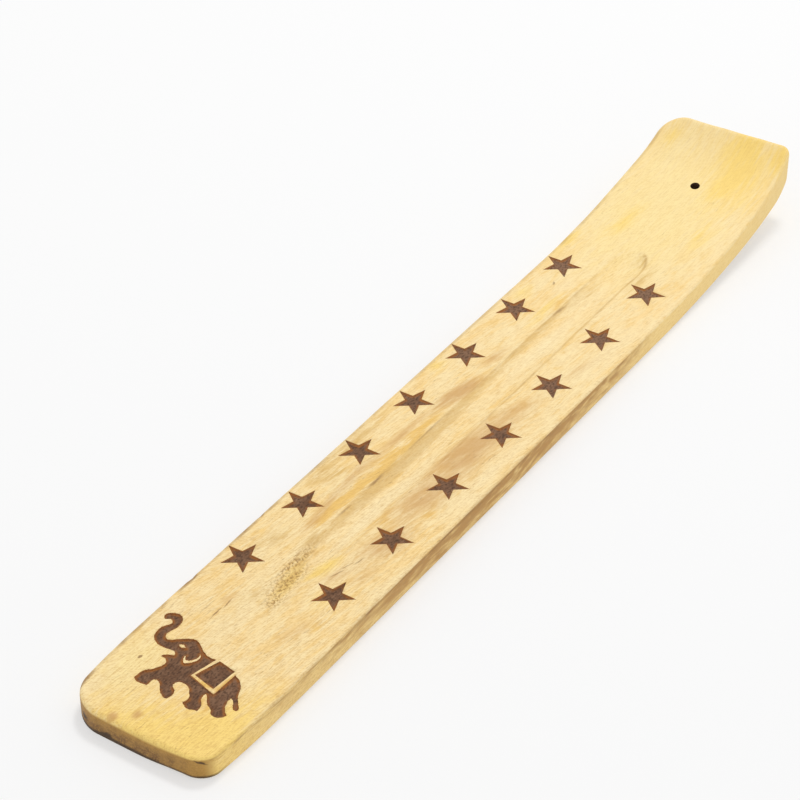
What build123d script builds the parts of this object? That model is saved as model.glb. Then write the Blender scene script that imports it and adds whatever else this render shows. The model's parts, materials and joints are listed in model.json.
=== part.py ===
import os
from math import acos, asin, cos, pi, sin, sqrt

from build123d import *

# Incense stick holder: a flat wooden ash catcher, swept up at the end that holds the stick.
# +X runs from the flat end to the raised end, +Y to the left seen from the flat end, +Z up.
# The origin lies on the table, under the middle of the board. All sizes are in millimetres.

# Board blank, with the lengths of its bends and its taper measured back from the raised end
board_length = 254.0
board_width = 38.5
board_thickness = 6.1
top_bend_length = 65.8
top_bend_radius = 216.0
curl_length = 16.7
curl_radius = 37.0
underside_bend_length = 73.0
underside_bend_radius = 330.0
nose_length = 9.5
tip_thickness = 6.0
taper_length = 34.0
raised_end_width = 36.2
raised_end_skew = 1.2

# Corners of the board seen from above, and its eased edges
flat_left_corner_radius = 10.5
flat_right_corner_radius = 8.0
raised_left_corner_radius = 6.3
raised_right_corner_radius = 3.0
top_edge_radius = 0.8
underside_edge_radius = 1.0
level_share = 0.1

# Ash groove, cut by a round-edged wheel that climbs out of the wood at both ends
groove_width = 8.6
groove_depth = 1.1
groove_flat_end_inset = 46.9
groove_raised_end_inset = 47.3
groove_flat_end_runout = 20.0
groove_raised_end_runout = 9.0
cutter_overrun = 1.0
runout_overrun_share = 1.25

# Stick hole, drilled square to the swept-up top
stick_hole_radius = 1.25
stick_hole_inset = 18.8

# Engraved marks: depth of their floors below the top, and the burnt layer on those floors
engraving_depth = 0.4
char_thickness = 0.15

# Two rows of five-pointed stars beside the groove, placed from the flat end
star_count = 7
star_points = 5
star_radius = 5.0
star_waist_share = 0.4
star_turn = 1.5
star_pitch = 22.55
left_row_inset = 56.1
left_row_offset = 13.65
right_row_inset = 57.1
right_row_offset = 10.1

# Elephant across the flat end, with its feet towards that end and its head to the left
elephant_length = 30.3
elephant_foot_inset = 11.7
elephant_trunk_offset = 16.15

# Curves round the elephant in order, as shares of its length, across and up from its front foot line
elephant_curve_shares = {
    "trunk, outer side": [
        (0.022, 0.632), (0.000, 0.662), (0.016, 0.695), (0.047, 0.714), (0.079, 0.723),
        (0.116, 0.708), (0.141, 0.669), (0.149, 0.628), (0.141, 0.579), (0.127, 0.529),
        (0.133, 0.491), (0.157, 0.472), (0.190, 0.478),
    ],
    "forehead to withers": [
        (0.190, 0.478), (0.264, 0.540), (0.304, 0.566), (0.337, 0.575), (0.374, 0.565),
        (0.415, 0.538), (0.460, 0.509), (0.513, 0.491), (0.573, 0.492),
    ],
    "rump and tail": [
        (0.784, 0.440), (0.820, 0.429), (0.857, 0.401), (0.887, 0.360), (0.908, 0.314),
        (0.930, 0.272), (0.962, 0.233), (0.999, 0.186),
    ],
    "tail tip": [(0.999, 0.186), (0.993, 0.171), (0.974, 0.171)],
    "tail, under side": [(0.974, 0.171), (0.949, 0.196), (0.930, 0.227), (0.912, 0.244), (0.891, 0.250)],
    "outer hind leg, back": [(0.891, 0.250), (0.891, 0.210), (0.904, 0.167), (0.929, 0.127), (0.965, 0.097)],
    "outer hind sole": [(0.965, 0.097), (0.949, 0.065), (0.898, 0.043), (0.861, 0.061)],
    "outer hind leg, front": [(0.861, 0.061), (0.845, 0.085), (0.802, 0.108), (0.764, 0.149), (0.724, 0.190)],
    "inner hind leg, back": [(0.724, 0.190), (0.718, 0.165), (0.728, 0.128), (0.750, 0.097), (0.771, 0.022)],
    "inner hind sole": [(0.771, 0.022), (0.738, 0.012), (0.705, 0.003), (0.669, 0.015), (0.642, 0.034)],
    "belly": [
        (0.642, 0.034), (0.654, 0.065), (0.646, 0.106), (0.620, 0.136), (0.595, 0.167), (0.558, 0.182),
        (0.519, 0.187), (0.489, 0.169), (0.477, 0.139), (0.488, 0.115), (0.515, 0.097), (0.532, 0.074),
        (0.536, 0.038), (0.527, 0.003),
    ],
    "inner fore sole": [(0.527, 0.003), (0.499, 0.000), (0.476, 0.016)],
    "arch of the fore legs": [
        (0.476, 0.016), (0.442, 0.038), (0.415, 0.070), (0.390, 0.097), (0.358, 0.108), (0.337, 0.097),
        (0.332, 0.067), (0.328, 0.029),
    ],
    "outer fore sole": [(0.328, 0.029), (0.272, 0.021), (0.227, 0.031), (0.215, 0.047)],
    "fore leg and chest": [
        (0.215, 0.047), (0.219, 0.088), (0.232, 0.137), (0.265, 0.172), (0.290, 0.210), (0.307, 0.264),
        (0.295, 0.296), (0.272, 0.310), (0.237, 0.315),
    ],
    "lip": [(0.237, 0.315), (0.251, 0.337), (0.276, 0.354), (0.310, 0.364)],
    "mouth": [(0.310, 0.364), (0.303, 0.386), (0.288, 0.403)],
    "trunk, inner side": [
        (0.288, 0.403), (0.255, 0.403), (0.210, 0.395), (0.161, 0.394), (0.116, 0.407), (0.079, 0.435),
        (0.059, 0.480), (0.054, 0.525), (0.065, 0.562), (0.083, 0.592), (0.093, 0.619), (0.085, 0.642),
        (0.067, 0.651), (0.047, 0.646), (0.022, 0.632),
    ],
}

# Straight sides of the bare gap round the saddle cloth, and the cloth itself, in the same shares
cloth_gap_shares = [(0.573, 0.492), (0.524, 0.270), (0.773, 0.208), (0.784, 0.440)]
cloth_shares = [(0.609, 0.494), (0.753, 0.471), (0.734, 0.255), (0.552, 0.295)]

# Bare wood left standing inside the figure: the eye, and the crescent that marks the ear
eye_curve_shares = [
    [(0.264, 0.471), (0.292, 0.490), (0.327, 0.476)],
    [(0.327, 0.476), (0.304, 0.458), (0.264, 0.471)],
]
ear_curve_shares = [
    [(0.374, 0.419), (0.380, 0.376), (0.407, 0.345), (0.448, 0.370), (0.472, 0.415), (0.475, 0.456),
     (0.444, 0.479)],
    [(0.444, 0.479), (0.458, 0.450), (0.448, 0.411), (0.427, 0.386), (0.405, 0.378), (0.389, 0.394),
     (0.374, 0.419)],
]


def arc_rise(run, radius):
    """Height that an arc gains over a run, where it starts level."""
    return radius - sqrt(radius**2 - run**2)


def runout_radius(run, rise):
    """Radius of an arc that starts level and gains a rise over a run."""
    return (run**2 + rise**2) / (2 * rise)


def bend_rise(x):
    """Height of the bent top above the flat top, short of the curl at the tip."""
    return arc_rise(max(x - top_bend_start, 0), top_bend_radius)


# Places along the board
flat_end = -board_length / 2
raised_end = board_length / 2
top_bend_start = raised_end - top_bend_length
curl_start = raised_end - curl_length
underside_bend_start = raised_end - underside_bend_length
nose_start = raised_end - nose_length
taper_start = raised_end - taper_length
half_width = board_width / 2

# Heights along the board: the curl takes over the slope of the bend and steepens it
curl_start_rise = bend_rise(curl_start)
curl_start_slope = asin((curl_start - top_bend_start) / top_bend_radius)
curl_end_slope = asin(sin(curl_start_slope) + curl_length / curl_radius)
curl_rise = curl_radius * (cos(curl_start_slope) - cos(curl_end_slope))
board_height = board_thickness + curl_start_rise + curl_rise
nose_height = arc_rise(nose_start - underside_bend_start, underside_bend_radius)


def draw_top(depth):
    """Line of the top of the board in its side view, lowered by a depth."""
    level = board_thickness - depth
    Line((flat_end, level), (top_bend_start, level))
    bend = TangentArc((top_bend_start, level), (curl_start, level + curl_start_rise), tangent=(1, 0))
    TangentArc(bend @ 1, (raised_end, board_height - depth), tangent=bend % 1)


def layer_under_top(floor_depth, ceiling_depth):
    """Layer that follows the top of the board, between two depths below it."""
    with BuildPart() as layer:
        with BuildSketch(Plane.XZ):
            with BuildLine():
                draw_top(floor_depth)
                draw_top(ceiling_depth)
                for x, height in ((flat_end, board_thickness), (raised_end, board_height)):
                    Line((x, height - floor_depth), (x, height - ceiling_depth))
            make_face()
        extrude(amount=half_width, both=True)
    return layer.part


def star_outline(x, y):
    """Corners of a star, with its first tip turned a little from the raised end."""
    corners = []
    for step in range(2 * star_points):
        reach = star_radius if step % 2 == 0 else star_radius * star_waist_share
        angle = star_turn * pi / 180 + step * pi / star_points
        corners.append((x + reach * cos(angle), y + reach * sin(angle)))
    return corners


def on_elephant(shares):
    """Points of the elephant at its real size."""
    return [(across * elephant_length, up * elephant_length) for across, up in shares]


# Outlines of all the marks, seen from above
mark_outlines = {}
star_rows = {
    "left": (left_row_inset, left_row_offset),
    "right": (right_row_inset, -right_row_offset),
}
for side, (inset, offset_y) in star_rows.items():
    for number in range(star_count):
        with BuildSketch(Plane.XY) as star:
            with BuildLine():
                Polyline(*star_outline(flat_end + inset + number * star_pitch, offset_y), close=True)
            make_face()
        mark_outlines[f"star_{side}_{number + 1}"] = star.sketch

elephant_plane = Plane(
    origin=(flat_end + elephant_foot_inset, elephant_trunk_offset, 0), x_dir=(0, -1, 0), z_dir=(0, 0, 1)
)
with BuildSketch(elephant_plane) as elephant_body:
    with BuildLine():
        for curve_shares in elephant_curve_shares.values():
            Spline(*on_elephant(curve_shares))
        Polyline(*on_elephant(cloth_gap_shares))
    make_face()
    for bare_shares in (eye_curve_shares, ear_curve_shares):
        with BuildLine():
            for curve_shares in bare_shares:
                Spline(*on_elephant(curve_shares))
        make_face(mode=Mode.SUBTRACT)
mark_outlines["elephant_body"] = elephant_body.sketch

with BuildSketch(elephant_plane) as elephant_cloth:
    with BuildLine():
        Polyline(*on_elephant(cloth_shares), close=True)
    make_face()
mark_outlines["elephant_cloth"] = elephant_cloth.sketch

# Recesses of the marks, from their floors to above the top of the board
above_engraving = layer_under_top(engraving_depth, -cutter_overrun)
with BuildPart() as recesses:
    for outline in mark_outlines.values():
        extrude(outline, amount=board_height + cutter_overrun)
    add(above_engraving, mode=Mode.INTERSECT)

# Ash groove: a straight run between two runouts, all with the same round-bottomed section
groove_floor = board_thickness - groove_depth
groove_tip_flat = flat_end + groove_flat_end_inset
groove_tip_raised = raised_end - groove_raised_end_inset
groove_run_start = groove_tip_flat + groove_flat_end_runout
groove_run_end = groove_tip_raised - groove_raised_end_runout
wheel_edge_radius = runout_radius(groove_width / 2, groove_depth)
cutter_height = groove_depth + bend_rise(groove_tip_raised) + cutter_overrun
cutter_half_width = sqrt(2 * wheel_edge_radius * cutter_height - cutter_height**2)

with BuildPart() as groove:
    runouts = (
        (groove_run_start, groove_flat_end_runout, groove_depth, (0, 1, 0)),
        (groove_run_end, groove_raised_end_runout, groove_depth + bend_rise(groove_tip_raised), (0, -1, 0)),
    )
    for run_x, run, rise, turn in runouts:
        wheel_radius = runout_radius(run, rise)
        climb = acos(1 - rise / wheel_radius) * runout_overrun_share * 180 / pi
        with BuildSketch(Plane(origin=(run_x, 0, groove_floor), x_dir=(0, 1, 0), z_dir=(1, 0, 0))) as section:
            with BuildLine():
                chord_ends = ((-cutter_half_width, cutter_height), (cutter_half_width, cutter_height))
                ThreePointArc(chord_ends[0], (0, 0), chord_ends[1])
                Line(*chord_ends)
            make_face()
        wheel_axle = Axis((run_x, 0, groove_floor + wheel_radius), turn)
        revolve(section.sketch, axis=wheel_axle, revolution_arc=climb)
    extrude(section.sketch, amount=groove_run_start - groove_run_end)

# Stick hole, square to the top where it enters
stick_hole_x = raised_end - stick_hole_inset
stick_hole_lean = asin(max(stick_hole_x - top_bend_start, 0) / top_bend_radius)
stick_hole_mouth = Plane(
    origin=(stick_hole_x, 0, board_thickness + bend_rise(stick_hole_x)),
    x_dir=(0, 1, 0),
    z_dir=(-sin(stick_hole_lean), 0, cos(stick_hole_lean)),
)

# Board
with BuildPart() as board:
    with BuildSketch(Plane.XZ):
        with BuildLine():
            draw_top(0)
            Line((flat_end, board_thickness), (flat_end, 0))
            Line((flat_end, 0), (underside_bend_start, 0))
            bend = TangentArc((underside_bend_start, 0), (nose_start, nose_height), tangent=(1, 0))
            nose = TangentArc(bend @ 1, (raised_end, board_height - tip_thickness), tangent=bend % 1)
            Line(nose @ 1, (raised_end, board_height))
        make_face()
    extrude(amount=half_width, both=True)

    # Seen from above, the sides draw in a little towards the raised end, which is cut out of square
    raised_half_width = raised_end_width / 2
    left_tip_x = raised_end - raised_end_skew
    with BuildSketch(Plane.XY) as plan:
        with BuildLine():
            for side, tip_x in ((1, left_tip_x), (-1, raised_end)):
                Line((flat_end, side * half_width), (taper_start, side * half_width))
                TangentArc(
                    (taper_start, side * half_width), (tip_x, side * raised_half_width), tangent=(1, 0)
                )
            Line((flat_end, half_width), (flat_end, -half_width))
            Line((left_tip_x, raised_half_width), (raised_end, -raised_half_width))
        make_face()
        corners = (
            (flat_end, half_width, flat_left_corner_radius),
            (flat_end, -half_width, flat_right_corner_radius),
            (left_tip_x, raised_half_width, raised_left_corner_radius),
            (raised_end, -raised_half_width, raised_right_corner_radius),
        )
        for x, y, radius in corners:
            fillet(plan.vertices().sort_by_distance((x, y, 0))[0], radius=radius)
    extrude(amount=board_height, mode=Mode.INTERSECT)

    # The outlines of the top and underside are eased, but not the joints between their bends
    for facing, radius in ((1, top_edge_radius), (-1, underside_edge_radius)):
        faces = board.faces().filter_by(lambda face: face.normal_at().Z * facing > level_share)
        across = faces.edges().filter_by(Axis.Y)
        joints = across.filter_by_position(Axis.X, flat_end + board_width, nose_start)
        fillet(faces.edges() - joints, radius=radius)

    add(groove.part, mode=Mode.SUBTRACT)
    with BuildSketch(stick_hole_mouth):
        Circle(stick_hole_radius)
    extrude(amount=board_height, both=True, mode=Mode.SUBTRACT)
    add(recesses.part, mode=Mode.SUBTRACT)

os.makedirs("parts", exist_ok=True)
board.part.label = "board"
export_step(board.part, "parts/board.step")

# Burnt layers, one on the floor of each recess
char_layer = layer_under_top(engraving_depth, engraving_depth - char_thickness)
for name, outline in mark_outlines.items():
    with BuildPart() as mark:
        extrude(outline, amount=board_height)
        add(char_layer, mode=Mode.INTERSECT)
    mark.part.label = name
    export_step(mark.part, f"parts/{name}.step")
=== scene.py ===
"""Incense stick holder: a sanded mango wood board with an ash groove and engraved, burnt marks.

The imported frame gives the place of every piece. All lengths are in metres, +X runs to the raised end.
"""

import json
from math import asin, atan2, cos, pi, radians, sin, sqrt
from types import SimpleNamespace

import bmesh
import bpy
import numpy as np
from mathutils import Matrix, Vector, noise
from mathutils.kdtree import KDTree


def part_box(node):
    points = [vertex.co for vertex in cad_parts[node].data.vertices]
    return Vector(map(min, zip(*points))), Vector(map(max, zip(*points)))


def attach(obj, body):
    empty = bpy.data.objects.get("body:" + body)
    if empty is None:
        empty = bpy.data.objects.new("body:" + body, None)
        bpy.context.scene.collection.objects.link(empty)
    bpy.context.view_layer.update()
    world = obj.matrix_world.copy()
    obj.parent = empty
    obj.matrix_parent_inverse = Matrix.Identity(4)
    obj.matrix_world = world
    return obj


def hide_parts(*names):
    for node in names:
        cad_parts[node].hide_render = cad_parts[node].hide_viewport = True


bl_info = {
    "name": "Incense stick holder",
    "version": (1, 0, 0),
    "blender": (4, 5, 0),
    "location": "3D View > Sidebar > Holder",
    "description": "Shapes and finishes a wooden incense stick holder around its packed frame",
    "category": "Object",
}

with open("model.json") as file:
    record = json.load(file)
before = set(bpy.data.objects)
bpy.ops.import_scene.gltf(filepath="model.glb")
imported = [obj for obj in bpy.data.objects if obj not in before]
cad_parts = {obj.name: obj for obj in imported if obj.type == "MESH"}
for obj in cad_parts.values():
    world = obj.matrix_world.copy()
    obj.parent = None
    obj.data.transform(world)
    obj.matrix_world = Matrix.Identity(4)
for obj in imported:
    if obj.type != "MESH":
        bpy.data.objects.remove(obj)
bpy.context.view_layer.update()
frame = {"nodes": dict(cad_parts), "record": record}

MM = 0.001
# Reach within which vertices are merged, and step of the char's mesh
DOUBLES_REACH = 0.002 * MM
CHAR_STEP = 0.2 * MM
# Half the width of the floor, width of the camera's sensor in millimetres and start of its view
FLOOR_HALF = 2.0
SENSOR_MM = 36
NEAR_CLIP = 10 * MM
# Stars in a row, and tips of a star
STAR_COUNT = 7
STAR_TIPS = 5
# Pieces of char, and the nodes that they stand for
STAR_ROWS = {
    f"stars_{side}_char": [f"star_{side}_{number}" for number in range(1, STAR_COUNT + 1)]
    for side in ("left", "right")
}
FIGURES = {"elephant_char": "elephant_body", "cloth_char": "elephant_cloth"}
# Upright part of the direction that a face points in, below which the face is a wall
WALL_TILT = 0.6

board_low, board_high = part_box("board")
FLAT_END = board_low.x
RAISED_END = -board_low.x
HALF_WIDTH = board_high.y


def linear(hex_code):
    """Linear colour of an sRGB hex value."""
    parts = [int(hex_code[place:place + 2], 16) / 255 for place in (1, 3, 5)]
    return [part / 12.92 if part <= 0.04045 else ((part + 0.055) / 1.055) ** 2.4 for part in parts]


def size(name, description, millimetres):
    """Length property with a default given in millimetres."""
    return bpy.props.FloatProperty(
        name=name, description=description, default=millimetres * MM, unit="LENGTH", precision=5
    )


def share(name, description, default):
    """Property for a share of something, from none to all of it."""
    return bpy.props.FloatProperty(
        name=name, description=description, default=default, min=0, max=1, subtype="FACTOR"
    )


def colour(name, description, hex_code):
    """Colour property with a default given as an sRGB hex value."""
    return bpy.props.FloatVectorProperty(
        name=name, description=description, default=linear(hex_code), size=3, min=0, max=1, subtype="COLOR"
    )


class BoardSizes(bpy.types.PropertyGroup):
    """Sizes of the wooden board."""

    thickness: size("Thickness", "Thickness of the flat part of the board", 6.1)
    top_bend_start: size("Top bend start", "Place along the board where its top begins to rise", 61.2)
    top_bend_radius: size("Top bend radius", "Radius of the long bend of the top", 216)
    curl_start: size("Curl start", "Place where the top steepens into the curl at the tip", 110.3)
    curl_radius: size("Curl radius", "Radius of the curl at the tip", 37)
    underside_bend_start: size("Underside bend start", "Place where the underside leaves the table", 54)
    underside_bend_radius: size("Underside bend radius", "Radius of the long bend of the underside", 330)
    nose_start: size("Nose start", "Place where the underside turns up to the tip", 117.5)
    tip_thickness: size("Tip thickness", "Height of the face at the raised end", 6.0)
    taper_start: size("Taper start", "Place where the sides begin to draw in to the raised end", 93)
    raised_half_width: size("Raised half width", "Half the width of the raised end", 18.1)
    raised_skew: size("Raised skew", "How far the raised end is cut out of square", 1.2)
    flat_taper_start: size("Flat taper start", "Place where the sides draw in to the flat end", -102)
    flat_left_taper: size("Flat left taper", "How far the left side draws in at the flat end", 1.5)
    flat_right_taper: size("Flat right taper", "How far the right side draws in at the flat end", 1.2)
    flat_skew: size("Flat skew", "How far the right half of the flat end is sanded back", 1.3)
    flat_left_corner: size("Flat left corner", "Corner radius seen from above", 8.0)
    flat_right_corner: size("Flat right corner", "Corner radius seen from above", 4.6)
    raised_left_corner: size("Raised left corner", "Corner radius seen from above", 6.3)
    raised_right_corner: size("Raised right corner", "Corner radius seen from above", 3.0)
    top_edge: size("Top edge", "Radius of the sanded edge of the top", 0.8)
    underside_edge: size("Underside edge", "Radius of the sanded edge of the underside", 0.7)
    sanding_waves: size("Sanding waves", "Depth of the shallow waves that hand sanding leaves", 0.05)


class GrooveSizes(bpy.types.PropertyGroup):
    """Sizes of the ash groove."""

    width: size("Width", "Width of the groove on the flat part of the board", 8.6)
    depth: size("Depth", "Depth of the groove on the flat part of the board", 1.1)
    flat_tip: size("Flat tip", "Place where the groove begins", -80.1)
    raised_tip: size("Raised tip", "Place where the groove ends", 79.7)
    flat_runout: size("Flat runout", "Length over which the groove deepens", 20)
    raised_runout: size("Raised runout", "Length over which the groove climbs out", 9)
    lip: size("Lip", "Softness of the groove's sanded edges", 0.12)
    # The darkening of the groove's edge is painted shade
    rim_depth: size("Rim depth", "Depth over which the groove's edge is darkened", 0.2)
    torn_depth: size("Torn depth", "Depth of the pits where the cutter tore the grain", 0.14)


class MarkSizes(bpy.types.PropertyGroup):
    """Sizes of the engraved marks."""

    star_radius: size("Star radius", "Reach of a star's tips", 5.0)
    waist_share: share("Waist share", "Reach of a star's inner corners as a share of its tips", 0.4)
    star_turn: bpy.props.FloatProperty(
        name="Star turn",
        description="Turn of a star's first tip from the raised end",
        default=radians(1.5),
        subtype="ANGLE",
    )
    depth: size("Depth", "Depth of the recess floors below the top", 0.4)
    wall_lean: size("Wall lean", "How far a recess wall leans in from its mouth to its floor", 0.1)
    burnt_spread: size("Burnt spread", "How far the burning has widened a recess at its mouth", 0.09)
    char_depth: size("Char depth", "Depth of the char's surface below the top", 0.33)
    char_bumps: size("Char bumps", "Unevenness of the char's surface", 0.05)
    ragged_step: size("Ragged step", "Length of the nicks in the outline of the elephant", 0.35)
    ragged_depth: size("Ragged depth", "How far the burning has nicked the outline of the elephant", 0.13)
    rim_width: size("Rim width", "Width of the browner char beside the walls", 0.7)


class Finishes(bpy.types.PropertyGroup):
    """Colours of the wood, the char and the stage."""

    pale: colour("Pale wood", "Lighter wood of the top", "#FEE6AF")
    golden: colour("Golden wood", "Deeper yellow wood, in broad patches", "#FBD892")
    # Sunny is also the colour of painted light over the raised end
    sunny_and_lit: colour("Sunny wood", "Clear light yellow, as at the raised end", "#FFE6A2")
    # Cream is also the colour of a painted highlight on the near edge
    cream_and_highlight: colour("Cream wood", "Freshly cut wood, as in the groove", "#FFEAB8")
    amber: colour("Amber wood", "Saturated yellow of the ends", "#FFDC7A")
    honey: colour("Honey wood", "Orange yellow bands and spots", "#F1C468")
    # Olive is also the tint of painted shade in and beside the groove
    olive_and_shade: colour("Olive wood", "Dull greenish wood beside the groove", "#D9B36A")
    figure: colour("Figure", "Brown streaks of the heartwood", "#CF9F60")
    fibre: colour("Fibres", "Fine fibres all over", "#CD9E54")
    # Pores is also the tint of painted shade: lines at the groove's left edge and rim, and dashes under the
    # sides' top edge
    pores: colour("Pores", "Open pores and single dark lines", "#865A2C")
    torn: colour("Torn grain", "Flecks where the cutter tore the grain", "#9A6E2C")
    sides: colour("Sides", "Sawn sides", "#FFDF94")
    side_streak: colour("Side streaks", "Brown streaks along the sides", "#B68443")
    end_grain: colour("End grain", "Darker wood of the sawn ends", "#75522D")
    end_streak: colour("End streaks", "Paler patches of the sawn ends", "#9C753E")
    end_gilt: colour("End gilt", "Golden parts of the sawn ends", "#BE9142")
    # Dirt is also the colour of painted shade along the flat end's bottom edge and in the stick hole
    dirt_and_shade: colour("Dirt", "Grime in chips and along the bottom edge", "#3E2C1C")
    char: colour("Char", "Burnt floor of the marks", "#6C4B34")
    ash: colour("Ash", "Paler patches of the char", "#96745B")
    soot: colour("Soot", "Darkest spots of the char", "#38251A")
    scorch: colour("Scorch", "Scorched walls of the recesses", "#A9682A")
    floor: colour("Floor", "Floor under the holder", "#FBFBFB")


class StageSettings(bpy.types.PropertyGroup):
    """Camera and light."""

    camera_place: bpy.props.FloatVectorProperty(
        name="Camera place", description="Where the camera stands", default=(-0.4202, -0.2647, 0.3970),
        subtype="TRANSLATION", unit="LENGTH",
    )
    camera_target: bpy.props.FloatVectorProperty(
        name="Camera target", description="Point at the middle of the view", default=(0.0018, 0.0209, 0),
        subtype="TRANSLATION", unit="LENGTH",
    )
    camera_lens: bpy.props.FloatProperty(
        name="Lens", description="Focal length of the camera", default=120.66, unit="CAMERA"
    )
    lamp_place: bpy.props.FloatVectorProperty(
        name="Lamp place", description="Where the lamp stands", default=(0.54, 0.095, 1.18),
        subtype="TRANSLATION", unit="LENGTH",
    )
    lamp_size: bpy.props.FloatProperty(
        name="Lamp size", description="Diameter of the lamp's round diffuser", default=0.3, unit="LENGTH"
    )
    lamp_power: bpy.props.FloatProperty(
        name="Lamp power", description="Power of the lamp", default=5.15, unit="POWER"
    )
    sky: share("Sky", "Brightness of the even light from all round", 0.72)
    floor_lift: share("Floor lift", "How far the floor's own light thins the shadows on it", 0.5)


# Shape of the board


def arc_rise(run, radius):
    """Height that an arc gains over a run, where it starts level."""
    return radius - np.sqrt(radius**2 - run**2)


def top_height(x, board):
    """Height of the top: flat, then a long bend, then a tighter curl at the tip."""
    bend = np.clip(x, board.top_bend_start, board.curl_start) - board.top_bend_start
    slope = asin((board.curl_start - board.top_bend_start) / board.top_bend_radius)
    curl = np.clip(x - board.curl_start, 0, None)
    curl_slope = np.arcsin(sin(slope) + curl / board.curl_radius)
    rise = arc_rise(bend, board.top_bend_radius)
    return board.thickness + rise + board.curl_radius * (cos(slope) - np.cos(curl_slope))


def underside_height(x, board):
    """Height of the underside: on the table, then a long bend, then a nose that turns up to the tip."""
    bend = np.clip(x, board.underside_bend_start, board.nose_start) - board.underside_bend_start
    run = RAISED_END - board.nose_start
    bend_run = board.nose_start - board.underside_bend_start
    slope = asin(bend_run / board.underside_bend_radius)
    nose_height = float(arc_rise(bend_run, board.underside_bend_radius))
    rise = float(top_height(RAISED_END, board)) - board.tip_thickness - nose_height
    turn = atan2(rise, run) - slope
    radius = sqrt(run**2 + rise**2) / (2 * sin(turn))
    nose = np.clip(x - board.nose_start, 0, run)
    nose_rise = radius * cos(slope) - np.sqrt(radius**2 - (nose + radius * sin(slope)) ** 2)
    return arc_rise(bend, board.underside_bend_radius) + nose_rise


def half_width(x, side, board):
    """Distance from the middle line to the left or right side, which draws in towards both ends."""
    raised_drop = HALF_WIDTH - board.raised_half_width
    flat_drop = np.where(side > 0, board.flat_left_taper, board.flat_right_taper)
    tapers = (
        (x - board.taper_start, RAISED_END - board.taper_start, raised_drop),
        (board.flat_taper_start - x, board.flat_taper_start - FLAT_END, flat_drop),
    )
    reach = HALF_WIDTH
    for run, length, drop in tapers:
        radius = (length**2 + drop**2) / (2 * drop)
        reach = reach - arc_rise(np.clip(run, 0, length), radius)
    return reach


def corners(board):
    """End, side and radius of the board's four corners seen from above."""
    return (
        (FLAT_END, 1, board.flat_left_corner),
        (FLAT_END, -1, board.flat_right_corner),
        (RAISED_END, 1, board.raised_left_corner),
        (RAISED_END, -1, board.raised_right_corner),
    )


def outline(x, side, board):
    """Place of the left or right outline across the board."""
    reach = half_width(x, side, board)
    for end, corner_side, radius in corners(board):
        if corner_side == side:
            reach = reach - arc_rise(np.clip(radius - np.abs(x - end), 0, radius), radius)
    return side * reach


def rim_distance(x, y, board):
    """Distance in from the outline, seen from above."""
    half = half_width(x, y, board)
    inward = np.minimum(half - np.abs(y), np.minimum(x - FLAT_END, RAISED_END - x))
    for end, side, radius in corners(board):
        along = radius - np.abs(x - end)
        across = radius - half + side * y
        rounded = (along > 0) & (across > 0)
        inward = np.where(rounded, radius - np.hypot(along, across), inward)
    return np.clip(inward, 0, None)


def groove_height(x, y, board, groove):
    """Height of the round-bottomed cut of a wheel that climbs out of the wood at both ends."""
    half = groove.width / 2
    edge_radius = (half**2 + groove.depth**2) / (2 * groove.depth)
    widest_share = 0.99
    section = arc_rise(np.clip(np.abs(y), 0, widest_share * edge_radius), edge_radius)
    height = np.full_like(x, board.thickness - groove.depth) + section
    runouts = (
        (groove.flat_tip, groove.flat_runout, 1),
        (groove.raised_tip, groove.raised_runout, -1),
    )
    for tip, run, facing in runouts:
        rise = groove.depth + float(top_height(tip, board)) - board.thickness
        wheel = (run**2 + rise**2) / (2 * rise)
        beyond = np.clip((tip + facing * run - x) * facing, 0, None)
        inside = np.clip((wheel - section) ** 2 - beyond**2, 0, None)
        height = np.where(beyond > 0, board.thickness - groove.depth + wheel - np.sqrt(inside), height)
    return height


def waves(x, y, length, width, seed):
    """Smooth noise from -1 to 1 with bumps of a length and a width."""
    places = zip((x / length).ravel(), (y / width).ravel())
    values = [noise.noise((along, across, seed)) for along, across in places]
    return np.array(values).reshape(np.shape(x))


def patch(x, y, place, reach):
    """Soft round patch, 1 at a place and fading over a reach, both along and across in millimetres."""
    along, across = (x / MM - place[0]) / reach[0], (y / MM - place[1]) / reach[1]
    return np.exp(-(along**2) - across**2)


# Worn and chipped stretches of the edges in millimetres: place and reach along and across, added radius
TOP_EDGE_WEAR = (
    ((-127, 5), (2.5, 10), 0.8),
    ((-127, -9), (2.5, 8), 0.5),
    ((-82.3, 19), (0.9, 2), 0.4),
    ((-57, 19), (0.7, 2), 0.25),
    ((-121, -18), (4, 3), 0.3),
    ((-60, 19), (70, 4), 0.25),
    ((-30, -19), (90, 4), -0.3),
)
UNDERSIDE_EDGE_WEAR = (
    ((-126, 6), (4, 16), -0.5),
    ((-127, -11), (3, 6), 0.6),
)
# Torn grain at the start of the groove: place and reach along and across in millimetres, and strength
TORN_PATCHES = (
    ((-66, 3.2), (7.5, 1.2), 1.0),
    ((-72, 1.0), (7.0, 1.9), 0.95),
    ((-78, -0.6), (3.0, 1.5), 1.1),
)
TORN_STRETCH = (-82 * MM, -58 * MM)
# Steps and counts of the rows and columns of the board's mesh
ROW_STEP = 0.9 * MM
TORN_ROW_STEP = 0.26 * MM
END_ROWS = 24
WALL_ROWS = 8
EDGE_COLUMNS = 9
FLANK_COLUMNS = 16
GROOVE_COLUMNS = 44


def worn_radius(x, y, radius, wear, seed):
    """Radius of a sanded edge, uneven along the board and larger where it is worn or chipped."""
    uneven_share = 0.25
    worn = radius * (1 + uneven_share * waves(x, y, 14 * MM, 9 * MM, seed))
    for place, reach, added in wear:
        worn = worn + added * MM * patch(x, y, place, reach)
    return np.clip(worn, radius / 4, None)


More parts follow.
